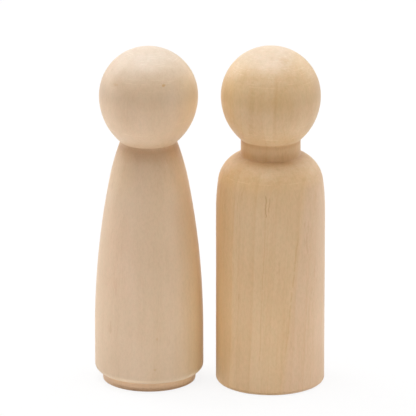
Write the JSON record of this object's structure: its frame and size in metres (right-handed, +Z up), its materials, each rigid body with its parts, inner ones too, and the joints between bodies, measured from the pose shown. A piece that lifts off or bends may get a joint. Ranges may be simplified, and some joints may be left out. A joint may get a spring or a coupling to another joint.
{
  "type": "peg doll pair",
  "caption": "Plain turned wooden peg dolls that stand on flat bases, one with a long skirt and a ball head on the neckline, one with straight sides, shoulders and a neck.",
  "frame": {"origin": "on the standing surface, at the middle of the pair's box", "axes": "+Z up along the dolls, -Y towards the viewer, the skirted doll at -X and the straight one at +X"},
  "size_m": [0.0603, 0.0298, 0.0908],
  "materials": {
    "woman_wood": "bare sanded hardwood, pale pinkish cream, matte",
    "man_wood": "bare sanded hardwood, pale straw yellow with upright grain, matte"
  },
  "bodies": {
    "man": {"man_doll": "man_wood"},
    "woman": {"woman_doll": "woman_wood"}
  },
  "joints": [
    {"name": "woman_lift", "type": "slide", "parent": "man", "child": "woman", "axis": [0, 0, 1], "range_m": [0, 0.1]}
  ]
}
